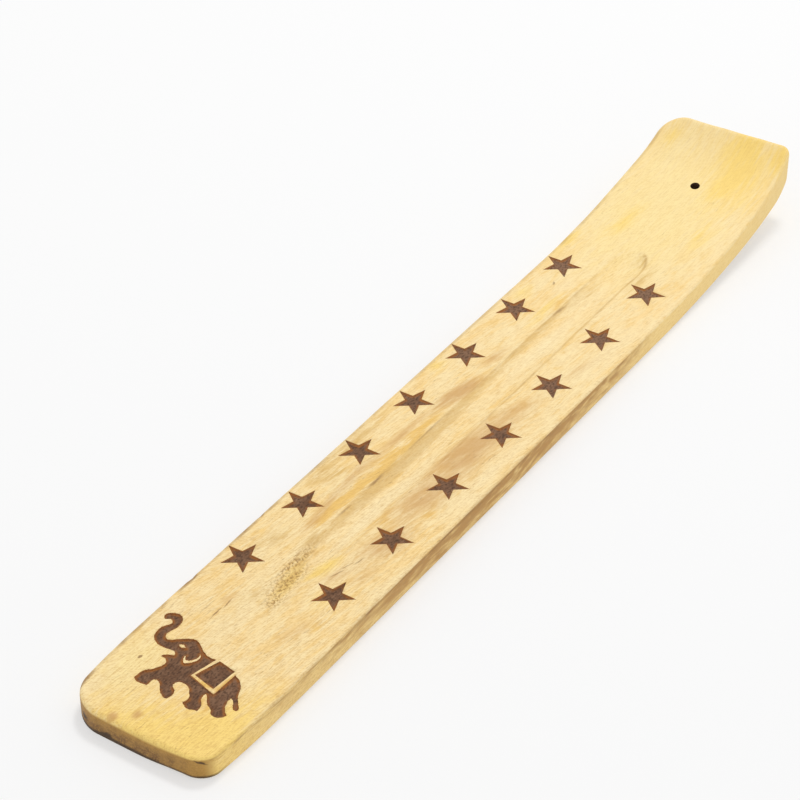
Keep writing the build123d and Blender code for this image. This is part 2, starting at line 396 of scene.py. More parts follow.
def tip_stretch(x, y, board):
    """How much wider an edge of the top is eased where its steep curl meets the face of the raised end."""
    slope = np.arctan(np.gradient(top_height(x, board)[:, 0], x[:, 0]))[:, None]
    to_end = RAISED_END - x
    to_side = half_width(x, y, board) - np.abs(y)
    least = MM / 100
    end_share = to_side / (to_side + to_end + least)
    return 1 + (np.tan(slope) + 1 / np.cos(slope) - 1) * end_share


def eased(distance, radius):
    """Drop of a rounded edge at a distance in from the outline."""
    return radius - np.sqrt(radius**2 - np.clip(radius - distance, 0, radius) ** 2)


def torn_grain(x, y):
    """Share of torn grain, from 0 to 1, in the pits at the start of the groove."""
    patches = [strength * patch(x, y, place, reach) for place, reach, strength in TORN_PATCHES]
    strewn = np.max(patches, axis=0)
    flecks = waves(x, y, 0.62 * MM, 0.5 * MM, 3) + 0.6 * waves(x, y, 0.36 * MM, 0.3 * MM, 4)
    spread, contrast, cover = 1.3, 2.6, 0.15
    return np.clip(strewn * spread, 0, 1) * np.clip(flecks * contrast + cover, 0, 1)


def rows_along(board):
    """Places of the mesh rows along the board: close together at its ends and in the torn grain."""
    turn = np.linspace(0, pi / 2, END_ROWS)
    flat = FLAT_END + board.flat_left_corner * (1 - np.cos(turn))
    raised = RAISED_END - (RAISED_END - board.nose_start) * (1 - np.cos(turn[::-1]))
    torn_start, torn_end = TORN_STRETCH
    spans = (
        (flat[-1], torn_start, ROW_STEP),
        (torn_start, torn_end, TORN_ROW_STEP),
        (torn_end, raised[0], ROW_STEP),
    )
    middle = [np.arange(start, stop, step)[1:] for start, stop, step in spans]
    return np.concatenate([flat, *middle, raised])


def columns_across():
    """Places of the mesh columns as shares of the width: close together at the edges and in the groove."""
    edge_share, groove_share = 0.045, 0.37
    edge = edge_share * (1 - np.cos(np.linspace(0, pi / 2, EDGE_COLUMNS)))
    flank = np.linspace(edge[-1], groove_share, FLANK_COLUMNS)[1:]
    groove = np.linspace(groove_share, 1 - groove_share, GROOVE_COLUMNS)[1:-1]
    return np.concatenate([edge, flank, groove, 1 - flank[::-1], 1 - edge[::-1]])


def closed_slab(name, x, y, top, underside, wall_rows):
    """Closed mesh between a top and an underside on one grid, with rows of faces round its rim."""
    rows, columns = x.shape
    index = np.arange(rows * columns).reshape(rows, columns)
    rim = np.concatenate([index[:-1, 0], index[-1, :-1], index[:0:-1, -1], index[0, :0:-1]])
    layers = [np.stack([x, y, top], -1).reshape(-1, 3)]
    rings = [rim]
    count = rows * columns
    for step in range(1, wall_rows):
        down = step / wall_rows
        height = top.ravel()[rim] * (1 - down) + underside.ravel()[rim] * down
        layers.append(np.stack([x.ravel()[rim], y.ravel()[rim], height], -1))
        rings.append(np.arange(count, count + len(rim)))
        count += len(rim)
    layers.append(np.stack([x, y, underside], -1).reshape(-1, 3))
    rings.append(rim + count)

    cells = np.stack([index[:-1, :-1], index[1:, :-1], index[1:, 1:], index[:-1, 1:]], -1).reshape(-1, 4)
    faces = cells.tolist() + (cells[:, ::-1] + count).tolist()
    for upper, lower in zip(rings, rings[1:]):
        faces += np.stack([upper, lower, np.roll(lower, -1), np.roll(upper, -1)], -1).tolist()
    mesh = bpy.data.meshes.new(name)
    mesh.from_pydata(np.concatenate(layers).tolist(), [], faces)
    return mesh


def board_mesh(board, groove):
    """Closed mesh of the board with its groove, before the marks are cut."""
    along, across = np.meshgrid(rows_along(board), columns_across(), indexing="ij")
    left, right = outline(along, 1, board), outline(along, -1, board)
    y = right + across * (left - right)
    inward = rim_distance(along, y, board)
    raised_share = np.clip((along - board.taper_start) / (RAISED_END - board.taper_start), 0, 1) ** 2
    flat_share = np.clip((board.flat_taper_start - along) / (board.flat_taper_start - FLAT_END), 0, 1) ** 2
    from_right = y + board.raised_half_width
    x = along - board.raised_skew * raised_share * from_right / (2 * board.raised_half_width)
    x = x + board.flat_skew * flat_share * np.clip(-y / HALF_WIDTH, 0, 1) ** 2

    top_radius = worn_radius(along, y, board.top_edge, TOP_EDGE_WEAR, 1) * tip_stretch(along, y, board)
    underside_radius = worn_radius(along, y, board.underside_edge, UNDERSIDE_EDGE_WEAR, 2)
    sanded = top_height(x, board) - board.sanding_waves * (1 + waves(x, y, 24 * MM, 11 * MM, 5)) / 2
    gap = sanded - groove_height(x, y, board, groove)
    lip = groove.lip
    cut = (gap + np.sqrt(gap**2 + lip**2)) / 2 - lip / 2 * np.exp(-np.clip(-gap, 0, None) / lip)
    top = sanded - np.clip(cut, 0, None) - eased(inward, top_radius)
    top = top - groove.torn_depth * torn_grain(x, y)
    underside = underside_height(x, board) + eased(inward, underside_radius)
    return closed_slab("board_blank", x, y, top, underside, WALL_ROWS)


# Meshes, Booleans and nodes


def new_object(name, data):
    """Object at the origin that holds a mesh, a lamp or a camera."""
    made = bpy.data.objects.new(name, data)
    bpy.context.scene.collection.objects.link(made)
    return made


def plain_mesh(shape, name):
    """Mesh of an object with its modifiers applied, which are then removed."""
    graph = bpy.context.evaluated_depsgraph_get()
    mesh = bpy.data.meshes.new_from_object(shape.evaluated_get(graph), depsgraph=graph)
    mesh.name = name
    shape.modifiers.clear()
    return mesh


def clean(mesh):
    """Merges the doubles that a Boolean leaves, and takes out vertices where only two edges meet."""
    shape = bmesh.new()
    shape.from_mesh(mesh)
    bmesh.ops.dissolve_degenerate(shape, dist=DOUBLES_REACH, edges=shape.edges)
    bmesh.ops.remove_doubles(shape, verts=shape.verts, dist=DOUBLES_REACH)
    lone = [vertex for vertex in shape.verts if len(vertex.link_edges) == 2]
    bmesh.ops.dissolve_verts(shape, verts=lone)
    shape.to_mesh(mesh)
    shape.free()


def combine(name, shape, tools, operation):
    """Mesh of a shape cut or kept by tools, with the tools' finish on the faces that they leave."""
    for tool in tools:
        boolean = shape.modifiers.new(tool.name, "BOOLEAN")
        boolean.object = tool
        boolean.operation = operation
        boolean.solver = "MANIFOLD"
        boolean.material_mode = "TRANSFER"
    mesh = plain_mesh(shape, name)
    if not mesh.polygons:
        raise RuntimeError(f"{name} came out empty")
    clean(mesh)
    return mesh


def remove(*shapes):
    """Deletes working objects."""
    for shape in shapes:
        bpy.data.objects.remove(shape)


def smooth(mesh, angle):
    """Smooth shading, with edges sharper than an angle kept sharp."""
    mesh.polygons.foreach_set("use_smooth", [True] * len(mesh.polygons))
    mesh.set_sharp_from_angle(angle=angle)


def paint(mesh, name, values):
    """Writes a value for each vertex that a finish can read."""
    mesh.attributes.new(name, "FLOAT", "POINT").data.foreach_set("value", np.asarray(values, float))


def vertices(mesh):
    """Places of a mesh's vertices, one row each."""
    places = np.empty(3 * len(mesh.vertices))
    mesh.vertices.foreach_get("co", places)
    return places.reshape(-1, 3)


def add(tree, kind, inputs=None, **settings):
    """Adds a node with its settings, and sets its inputs to values, sockets or first outputs of nodes."""
    made = tree.nodes.new(kind)
    for setting, value in settings.items():
        setattr(made, setting, value)
    for key, value in (inputs or {}).items():
        if isinstance(value, bpy.types.Node):
            value = value.outputs[0]
        if isinstance(value, bpy.types.NodeSocket):
            tree.links.new(value, made.inputs[key])
        else:
            made.inputs[key].default_value = value
    return made


# Wear and shade that are painted on the board


# Places along the board in millimetres, and the strength there of the worn lines and of the painted shade
# at the groove's rim
LEFT_LINE = ((-70, 1.0), (0, 0.45))
RIGHT_LINE = ((10, 0.55), (60, 0.05))
GROOVE_RIM_SHADE = ((-30, 0.4), (20, 1.0))
GROOVE_TIP_SHADE = ((55, 1.0), (72, 0.15))


def along_board(x, stops):
    """Value at a place along the board, from a few places in millimetres and the values there."""
    places, values = zip(*stops)
    return np.interp(x / MM, places, values)


def edge_wear(x, y, board):
    """Share of the worn line beside the top's edges, firm on the left side and soft on the right side."""
    line_width, line_fade = 1.35, 0.4
    to_left = (half_width(x, y, board) - y) / MM
    left = np.clip((line_width - to_left) / line_fade, 0, 1) * along_board(x, LEFT_LINE)
    right = np.clip(1 - rim_distance(x, y, board) / MM, 0, 1) ** 2 * along_board(x, RIGHT_LINE)
    return np.where(y > 0, left, right)


def groove_edge_shade(x, y, board, groove):
    """Share of painted shade at the rim of the groove, which fades out round the tip but not on the right
    side.
    """
    right_side = -1.5 * MM
    gap = top_height(x, board) - groove_height(x, y, board, groove)
    strength = along_board(x, GROOVE_RIM_SHADE) * np.where(y > right_side, along_board(x, GROOVE_TIP_SHADE), 1)
    return strength * np.exp(-((gap / groove.rim_depth) ** 2))


def paint_board(mesh, board, groove):
    """Writes the depth below the top and the shares of torn grain, worn lines and painted shade at the
    groove's rim that the wood's finish reads.
    """
    x, y, z = vertices(mesh).T
    below_top = top_height(x, board) - z
    on_top = below_top < board.thickness / 2
    paint(mesh, "below", below_top / MM)
    paint(mesh, "torn", np.where(on_top, torn_grain(x, y), 0))
    paint(mesh, "edge", np.where(on_top, edge_wear(x, y, board), 0))
    paint(mesh, "groove_rim_shade", np.where(on_top, groove_edge_shade(x, y, board, groove), 0))


# Recesses of the marks


def star_row_tree():
    """Node tree that sets a row of star-shaped prisms along the top of the board."""
    tree = bpy.data.node_groups.new("star_row", "GeometryNodeTree")
    sockets = (
        ("Count", "NodeSocketInt"),
        ("Tips", "NodeSocketInt"),
        ("First", "NodeSocketVector"),
        ("Pitch", "NodeSocketVector"),
        ("Radius", "NodeSocketFloat"),
        ("Waist share", "NodeSocketFloat"),
        ("Turn", "NodeSocketVector"),
        ("Floor share", "NodeSocketFloat"),
        ("Mouth share", "NodeSocketFloat"),
        ("Height", "NodeSocketFloat"),
        ("Bend start", "NodeSocketFloat"),
        ("Bend radius", "NodeSocketFloat"),
        ("Finish", "NodeSocketMaterial"),
    )
    for name, kind in sockets:
        tree.interface.new_socket(name, in_out="INPUT", socket_type=kind)
    tree.interface.new_socket("Stars", in_out="OUTPUT", socket_type="NodeSocketGeometry")
    given = tree.nodes.new("NodeGroupInput").outputs

    # Star: a disc whose every second corner is drawn in to the waist
    corner_count = add(tree, "ShaderNodeMath", {0: given["Tips"], 1: 2.0}, operation="MULTIPLY")
    disc = add(
        tree, "GeometryNodeMeshCircle", {"Vertices": corner_count, "Radius": given["Radius"]},
        fill_type="TRIANGLE_FAN",
    )
    index = add(tree, "GeometryNodeInputIndex")
    inner = add(tree, "ShaderNodeMath", {0: index, 1: 2.0}, operation="MODULO")
    position = add(tree, "GeometryNodeInputPosition")
    waist = add(
        tree, "ShaderNodeVectorMath", {0: position, "Scale": given["Waist share"]}, operation="SCALE"
    )
    star = add(tree, "GeometryNodeSetPosition", {"Geometry": disc, "Selection": inner, "Position": waist})

    # Prism: a small star at the floor and a larger one above the mouth, with leaning walls between them
    drawn_in = add(
        tree, "ShaderNodeVectorMath", {0: position, "Scale": given["Floor share"]}, operation="SCALE"
    )
    floor = add(tree, "GeometryNodeSetPosition", {"Geometry": star, "Position": drawn_in})
    up = add(tree, "ShaderNodeCombineXYZ", {"Z": given["Height"]})
    raised = add(
        tree, "GeometryNodeExtrudeMesh",
        {"Mesh": floor, "Offset": up, "Offset Scale": 1.0, "Individual": False},
    )
    widening = add(
        tree, "ShaderNodeMath", {0: given["Mouth share"], 1: given["Floor share"]}, operation="DIVIDE"
    )
    flat_scale = add(tree, "ShaderNodeCombineXYZ", {"X": widening, "Y": widening, "Z": 1.0})
    widened = add(tree, "ShaderNodeVectorMath", {0: position, 1: flat_scale}, operation="MULTIPLY")
    walls = add(
        tree, "GeometryNodeSetPosition",
        {"Geometry": raised, "Selection": raised.outputs["Top"], "Position": widened},
    )
    bottom = add(tree, "GeometryNodeFlipFaces", {"Mesh": floor})
    prism = add(tree, "GeometryNodeJoinGeometry")
    for part in (walls, bottom):
        tree.links.new(part.outputs[0], prism.inputs[0])
    closed = add(tree, "GeometryNodeMergeByDistance", {"Geometry": prism, "Distance": DOUBLES_REACH})

    # Row: one prism at each place, lifted by the bend of the board
    places = add(
        tree, "GeometryNodeMeshLine",
        {"Count": given["Count"], "Start Location": given["First"], "Offset": given["Pitch"]},
    )
    row = add(
        tree, "GeometryNodeInstanceOnPoints",
        {"Points": places, "Instance": closed, "Rotation": given["Turn"]},
    )
    realized = add(tree, "GeometryNodeRealizeInstances", {"Geometry": row})
    along = add(tree, "ShaderNodeSeparateXYZ", {0: position}).outputs["X"]
    past = add(tree, "ShaderNodeMath", {0: along, 1: given["Bend start"]}, operation="SUBTRACT")
    run = add(tree, "ShaderNodeMath", {0: past, 1: 0.0}, operation="MAXIMUM")
    run_square = add(tree, "ShaderNodeMath", {0: run, 1: run}, operation="MULTIPLY")
    double_radius = add(tree, "ShaderNodeMath", {0: given["Bend radius"], 1: 2.0}, operation="MULTIPLY")
    rise = add(tree, "ShaderNodeMath", {0: run_square, 1: double_radius}, operation="DIVIDE")
    lift = add(tree, "ShaderNodeCombineXYZ", {"Z": rise})
    bent = add(tree, "GeometryNodeSetPosition", {"Geometry": realized, "Offset": lift})
    finished = add(tree, "GeometryNodeSetMaterial", {"Geometry": bent, "Material": given["Finish"]})
    add(tree, "NodeGroupOutput", {0: finished})
    return tree


def star_prisms(nodes, board, marks, finish):
    """Prisms of one row of stars, at the places of their nodes."""
    tree = bpy.data.node_groups.get("star_row") or star_row_tree()
    first_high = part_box(nodes[0])[1]
    last_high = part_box(nodes[-1])[1]
    tip_step = 2 * pi / STAR_TIPS
    tip_reach = marks.star_radius * cos(marks.star_turn)
    top_tip_reach = marks.star_radius * sin(marks.star_turn + tip_step)
    first = Vector((first_high.x - tip_reach, first_high.y - top_tip_reach, board.thickness - marks.depth))
    pitch = Vector(((last_high.x - first_high.x) / (len(nodes) - 1), 0, 0))
    # Distance from a star's middle to the lines of its sides, which the walls lean in from
    waist = marks.star_radius * marks.waist_share
    half_step = tip_step / 2
    side = sqrt((marks.star_radius - waist * cos(half_step)) ** 2 + (waist * sin(half_step)) ** 2)
    inner_reach = marks.star_radius * waist * sin(half_step) / side
    overrun = marks.depth
    inputs = {
        "Count": len(nodes),
        "Tips": STAR_TIPS,
        "First": first,
        "Pitch": pitch,
        "Radius": marks.star_radius,
        "Waist share": marks.waist_share,
        "Turn": Vector((0, 0, marks.star_turn)),
        "Floor share": 1 + (marks.burnt_spread - marks.wall_lean) / inner_reach,
        "Mouth share": 1 + (marks.burnt_spread + marks.wall_lean * overrun / marks.depth) / inner_reach,
        "Height": marks.depth + overrun,
        "Bend start": board.top_bend_start,
        "Bend radius": board.top_bend_radius,
        "Finish": finish,
    }
    shape = new_object("star_prisms", bpy.data.meshes.new("star_prisms"))
    modifier = shape.modifiers.new("star_row", "NODES")
    modifier.node_group = tree
    for item in tree.interface.items_tree:
        if item.in_out == "INPUT":
            modifier[item.identifier] = inputs[item.name]
    shape.data = plain_mesh(shape, "star_prisms")
    return shape


def figure_prism(node, marks, finish):
    """Prism with leaning walls and a nicked outline, which follows that of a node's solid."""
    shape = bmesh.new()
    shape.from_mesh(frame["nodes"][node].data)
    bmesh.ops.remove_doubles(shape, verts=shape.verts, dist=DOUBLES_REACH)
    low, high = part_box(node)
    middle = (low.z + high.z) / 2
    overrun = marks.depth
    least_mitre = 0.5
    rims = [edge for edge in shape.edges if edge.calc_face_angle() > radians(60)]
    for rim in rims:
        first, second = rim.verts
        cuts = int(rim.calc_length() / marks.ragged_step)
        if cuts and abs(first.co.z - second.co.z) < marks.depth / 2:
            bmesh.ops.subdivide_edges(shape, edges=[rim], cuts=cuts)
    shape.normal_update()
    leans = []
    for vertex in shape.verts:
        walls = [face.normal for face in vertex.link_faces if abs(face.normal.z) < WALL_TILT]
        outward = sum(walls, Vector()).normalized()
        mitre = max(min(outward.dot(wall) for wall in walls), least_mitre)
        leans.append((vertex, outward / mitre))
    for vertex, outward in leans:
        nick = noise.noise((vertex.co.x / marks.ragged_step, vertex.co.y / marks.ragged_step, 0.5))
        spread = marks.burnt_spread + marks.ragged_depth * nick
        if vertex.co.z > middle:
            vertex.co += outward * (spread + marks.wall_lean * overrun / marks.depth)
            vertex.co.z = low.z + marks.depth + overrun
        else:
            vertex.co += outward * (spread - marks.wall_lean)
    bmesh.ops.recalc_face_normals(shape, faces=shape.faces)
    mesh = bpy.data.meshes.new(f"{node}_prism")
    shape.to_mesh(mesh)
    shape.free()
    mesh.materials.clear()
    mesh.materials.append(finish)
    return new_object(f"{node}_prism", mesh)


def hole_cutter(finish):
    """Cylinder along the stick hole's bore."""
    mount = next(item for item in frame["record"]["mounts"] if item["name"] == "stick_hole")
    radius = mount["dims"]["r_mm"] * MM
    length = mount["dims"]["length_mm"] * MM
    turn = Vector(mount["axis"]).to_track_quat("Z", "Y").to_matrix().to_4x4()
    turn.translation = Vector(mount["pos_m"])
    shape = bmesh.new()
    bmesh.ops.create_cone(
        shape, cap_ends=True, segments=48, radius1=radius, radius2=radius, depth=2 * length, matrix=turn
    )
    mesh = bpy.data.meshes.new("hole_cutter")
    shape.to_mesh(mesh)
    shape.free()
    mesh.materials.append(finish)
    return new_object("hole_cutter", mesh)


def char_slab(prisms, board, marks, step):
    """Uneven slab through the recesses, whose top becomes the surface of the char."""
    places = vertices(prisms.data)
    margin = 2 * step
    low, high = places.min(0) - margin, places.max(0) + margin
    counts = np.ceil((high - low) / step).astype(int)
    along = np.linspace(low[0], high[0], counts[0])
    across = np.linspace(low[1], high[1], counts[1])
    x, y = np.meshgrid(along, across, indexing="ij")
    bumps = waves(x, y, 1.1 * MM, 0.7 * MM, 11) + 0.6 * waves(x, y, 0.4 * MM, 0.35 * MM, 12)
    surface = top_height(x, board) - marks.char_depth + marks.char_bumps * bumps / 2
    base = top_height(x, board) - 2 * marks.depth
    return new_object("char_slab", closed_slab("char_slab", x, y, surface, base, wall_rows=1))


def rim_share(mesh, reach):
    """For each vertex, 1 at the walls of its recess, fading to 0 at a reach from them."""
    steep = [face for face in mesh.polygons if abs(face.normal.z) < WALL_TILT]
    wall_corners = {corner for face in steep for corner in face.vertices}
    walls = KDTree(len(wall_corners))
    for corner in wall_corners:
        walls.insert(mesh.vertices[corner].co, corner)
    walls.balance()
    return [max(0, 1 - walls.find(vertex.co)[2] / reach) for vertex in mesh.vertices]


def char_piece(name, prisms, nodes, board, marks, finish):
    """Burnt layer in the recesses of some marks, which stands for their nodes."""
    slab = char_slab(prisms, board, marks, CHAR_STEP)
    slab.data.materials.append(finish)
    piece = new_object(name, combine(name, slab, [prisms], "INTERSECT"))
    piece.data.materials.clear()
    piece.data.materials.append(finish)
    paint(piece.data, "rim", rim_share(piece.data, marks.rim_width))
    remove(slab, prisms)
    smooth(piece.data, radians(40))
    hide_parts(*nodes)
    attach(piece, "root")
    return piece


# Finishes


def empty_tree(owner):
    """Node tree of a material or a world, without its first nodes."""
    owner.use_nodes = True
    owner.node_tree.nodes.clear()
    return owner.node_tree


def new_finish(name):
    """Empty material with its node tree and places on the piece in millimetres."""
    material = bpy.data.materials.new(name)
    tree = empty_tree(material)
    place = tree.nodes.new("ShaderNodeTexCoord").outputs["Object"]
    return material, tree, add(tree, "ShaderNodeVectorMath", {0: place, "Scale": 1 / MM}, operation="SCALE")


def shade(tree, inputs):
    """Ends a finish in a shader with these inputs."""
    shader = add(tree, "ShaderNodeBsdfPrincipled", inputs)
    add(tree, "ShaderNodeOutputMaterial", {"Surface": shader})


def rgba(value):
    """Colour with full alpha for a node's socket."""
    return (*value, 1)


def drawn_noise(tree, place, length, width, seed, detail=2.0):
    """Noise drawn out along the grain, with waves of a length and a width in millimetres."""
    drawn = add(
        tree, "ShaderNodeMapping",
        {"Vector": place, "Location": (seed, seed, seed), "Scale": (1 / length, 1 / width, 1 / width)},
    )
    return add(tree, "ShaderNodeTexNoise", {"Vector": drawn, "Scale": 1.0, "Detail": detail})


def streaks(tree, place, length, width, low, high, seed, detail=2.0):
    """Mask of noise drawn out along the grain, 0 below one level of it and 1 above another."""
    field = drawn_noise(tree, place, length, width, seed, detail)
    return add(tree, "ShaderNodeMapRange", {"Value": field, "From Min": low, "From Max": high})


def pushed(tree, place, length, width, reach, seed):
    """Places pushed about by noise with waves of a length and a width."""
    field = drawn_noise(tree, place, length, width, seed).outputs["Color"]
    push = add(
        tree, "ShaderNodeVectorMath", {0: field, 1: (2 * reach,) * 3, 2: (-reach,) * 3},
        operation="MULTIPLY_ADD",
    )
    return add(tree, "ShaderNodeVectorMath", {0: place, 1: push}, operation="ADD")


def stains(tree, place, spots):
    """Sum of soft oval stains, each a place and half size along and across, a turn and a strength."""
    total = 0.0
    for along, across, half_length, half_breadth, turn, strength in spots:
        shape = {
            "Vector": place,
            "Location": (along, across, 0),
            "Rotation": (0, 0, radians(turn)),
            "Scale": (half_length, half_breadth, 1 / MM),
        }
        oval = add(tree, "ShaderNodeMapping", shape, vector_type="TEXTURE")
        spot = add(tree, "ShaderNodeTexGradient", {"Vector": oval}, gradient_type="SPHERICAL")
        spot = spot.outputs["Fac"]
        total = add(tree, "ShaderNodeMath", {0: spot, 1: strength, 2: total}, operation="MULTIPLY_ADD")
    return total


def mixed(tree, amount, first, second):
    """Colour between a first one and a second one."""
    # The node has sockets for other kinds of data before those of colours, under the same names
    return add(tree, "ShaderNodeMix", {0: amount, 6: first, 7: second}, data_type="RGBA").outputs[2]


def stained(tree, wood, soft, fray, tint, strength):
    """Wood with stains laid over it, whose edges fray along the grain."""
    frayed = add(tree, "ShaderNodeMath", {0: soft, 1: fray}, operation="MULTIPLY")
    mask = add(
        tree, "ShaderNodeMapRange",
        {"Value": frayed, "From Min": 0.1, "From Max": 1.15, "To Min": 0.0, "To Max": strength},
        interpolation_type="SMOOTHSTEP",
    )
    return mixed(tree, mask, wood, rgba(tint))


# Stains of the top, with painted light, shade and a highlight among them, in millimetres: place and half
# size along and across, turn in degrees and strength
SUNNY_AND_LIT_STAINS = (
    # Painted light over the raised end, which makes up for the light that its curl turns away from, on wood
    # that is clearer there
    (98, 4, 54, 34, 0, 1.3),
    (-110, 12, 18, 10, 0, 1.3),
)
AMBER_STAINS = (
    (-129, -6, 22, 28, 0, 1.5),
    (-71, 1.2, 12, 3.4, 12, 1.3),
    (-117, -16, 26, 10, 0, 1.1),
    (116, -9, 24, 15, 0, 1.0),
    (122, -6, 8, 6, 0, 0.7),
    (112, -6.5, 8, 4, -20, 0.6),
    (124, -17, 7, 4, 0, 0.7),
    (121, 14, 7, 4, 0, 0.8),
    (92, -11, 8, 4, 0, 0.8),
    (88, 9, 15, 4, -8, 0.9),
    (45, 7, 13, 2.8, 0, 0.9),
    (74, 18, 9, 3, 0, 1.1),
    (48, 16, 7, 4, 0, 0.8),
    (12, 16.5, 6, 4, 0, 0.8),
    (-72, -9.5, 7, 5, 0, 0.7),
    (-63, -3.4, 8, 3.2, -10, 1.4),
)
HONEY_STAINS = (
    (-24, 6.2, 34, 2.8, 0, 1.5),
    (-48, 6.6, 14, 2.4, 0, 1.1),
    (-42, -5.6, 5, 2.4, 0, 1.0),
    (-21, -6.0, 5, 2.4, -10, 0.8),
    (50, 5.5, 9, 2.2, 0, 0.9),
    (-81, -12.5, 4, 3, -10, 0.8),
    (-36, -12.5, 4, 3, -10, 0.8),
    (-113, -8, 6, 6, 0, 0.7),
)
BROWN_STAINS = (
    (-30, -9, 34, 8.5, -5, 0.62),
    (-6, -8.5, 30, 7.5, -6, 0.66),
    (-34, -8.0, 12, 5.0, -14, 0.4),
    (-12, -6.4, 18, 4.0, -9, 0.5),
    (7, -7.2, 15, 4.0, -13, 0.45),
    (-53, 8.0, 9, 3.2, 0, 0.8),
    (-31, 9.0, 10, 2.6, 0, 0.8),
    (-43, 8.8, 10, 2.4, 0, 0.8),
    (-16, 8.8, 12, 2.2, 0, 0.9),
    (0, 7.5, 13, 3.6, -4, 0.7),
    (-50, -11, 12, 6.0, -12, 0.8),
    (-62, -12, 8, 4.0, -14, 0.6),
    (-64, -7, 7, 2.8, -16, 0.8),
    (8, 6.2, 11, 2.6, -6, 1.1),
    (22, 7.2, 9, 2.4, -8, 0.8),
    (-84, -10, 9, 4.0, -12, 0.6),
    (30, -12.5, 14, 2.6, -10, 0.6),
    (-84, 8.0, 6, 2.6, 0, 0.6),
    (-125.4, 6.9, 2.0, 1.6, 0, 1.5),
    (-121.9, 2.6, 2.6, 2.0, 0, 1.2),
)
# Olive stains, where those at the groove's left edge and wall and round its far tip are painted shade
OLIVE_STAINS_AND_SHADE = (
    (-70, 1.4, 13, 3.0, 12, 1.2),
    (-57, 4.4, 12, 2.4, -6, 0.9),
    (77, -2.4, 4, 3.0, 30, 0.9),
    (70, -6.5, 12, 3.4, 0, 0.8),
    (57, 2.6, 14, 2.4, 0, 0.6),
    (-25, 16.8, 26, 3.0, 0, 0.9),
    (-36, 13.5, 8, 4.0, -20, 0.9),
    (-62, 13, 9, 4.0, -20, 0.8),
    (-80, 4.5, 9, 3.0, -12, 0.6),
)
# Painted shade on the groove's left wall, which faces away from the light, in the same way
GROOVE_WALL_SHADE = (
    (-24, 3.2, 48, 2.5, 0, 1.7),
    (34, 3.7, 44, 1.3, 0, 0.9),
)
CREAM_STAINS_AND_HIGHLIGHT = (
    (-36, -1.4, 34, 3.2, 0, 1.6),
    (35, 0, 50, 3.6, 0, 1.0),
    (-70, 7.0, 10, 3.5, -10, 0.8),
    (-14, -16, 30, 4.4, 0, 0.9),
    (40, -15, 28, 5.0, 0, 0.9),
    (20, 12.5, 12, 4.0, 0, 0.7),
    (57, 8.5, 10, 4.0, 0, 1.0),
    (-88, 2, 10, 5, 0, 0.7),
    # Painted highlight on the roll of the near edge, over a pale worn patch
    (-126.5, -4.4, 2.4, 4.5, 0, 1.5),
)
# Bare wood of the elephant that the burning next to it has browned, in the same way
SCORCHED_GAPS = (
    (-107.4, -4.2, 1.6, 4.6, 0, 1.3),
    (-105.0, -7.5, 4.0, 1.4, 0, 1.3),
    (-111.6, 0.6, 3.2, 3.4, 0, 0.45),
    (-112.5, -7.0, 3.0, 2.4, 0, 0.4),
)
# Single dark lines and flecks that stand out on the top, in the same way
DARK_LINES = (
    (-88.6, 7.5, 2.8, 0.26, 3, 1.3),
    (-84.8, 7.3, 2.4, 0.24, 6, 1.2),
    (-88, 10.4, 3.2, 0.24, -2, 0.6),
    (-63.6, -6.8, 2.4, 0.24, -18, 1.2),
    (-60.5, -7.0, 2.2, 0.22, -18, 0.9),
    (-57.6, -8.4, 2.2, 0.26, -14, 0.9),
    # These four are painted shade along the groove's left edge
    (-45.5, 4.2, 3.4, 0.40, -1, 0.8),
    (-32.5, 4.3, 4.0, 0.50, 0, 1.1),
    (-11, 4.4, 9, 0.36, 1, 0.6),
    (47.5, 4.0, 5.0, 0.40, -2, 0.7),
    (56.5, 11.3, 1.0, 0.36, 20, 1.2),
    (-108.5, 12.6, 0.8, 0.45, -20, 2.4),
    (-82.3, 18.8, 1.6, 0.7, 0, 2.2),
    (-57, 18.9, 1.5, 0.5, 0, 1.8),
)
# Chips and a crack of the flat end, in the same way but placed across and up its face
END_CHIPS = (
    (7.2, 1.2, 2.0, 1.0, -15, 2.0),
    (13.4, 2.6, 1.3, 1.1, 0, 1.5),
    (-16.2, 4.9, 1.5, 0.35, 28, 1.8),
)
# Golden and brown stretches of the sides, as wide as the board
SIDE_GOLD = ((-122, 0, 26, 90, 0, 1.1),)
SIDE_STAINS = (
    (-62, 0, 26, 90, 0, 0.7),
    (-38, 0, 28, 90, 0, 0.9),
    (-6, 0, 32, 90, 0, 1.0),
    (28, 0, 34, 90, 0, 0.85),
    (-92, 0, 32, 90, 0, 0.45),
)


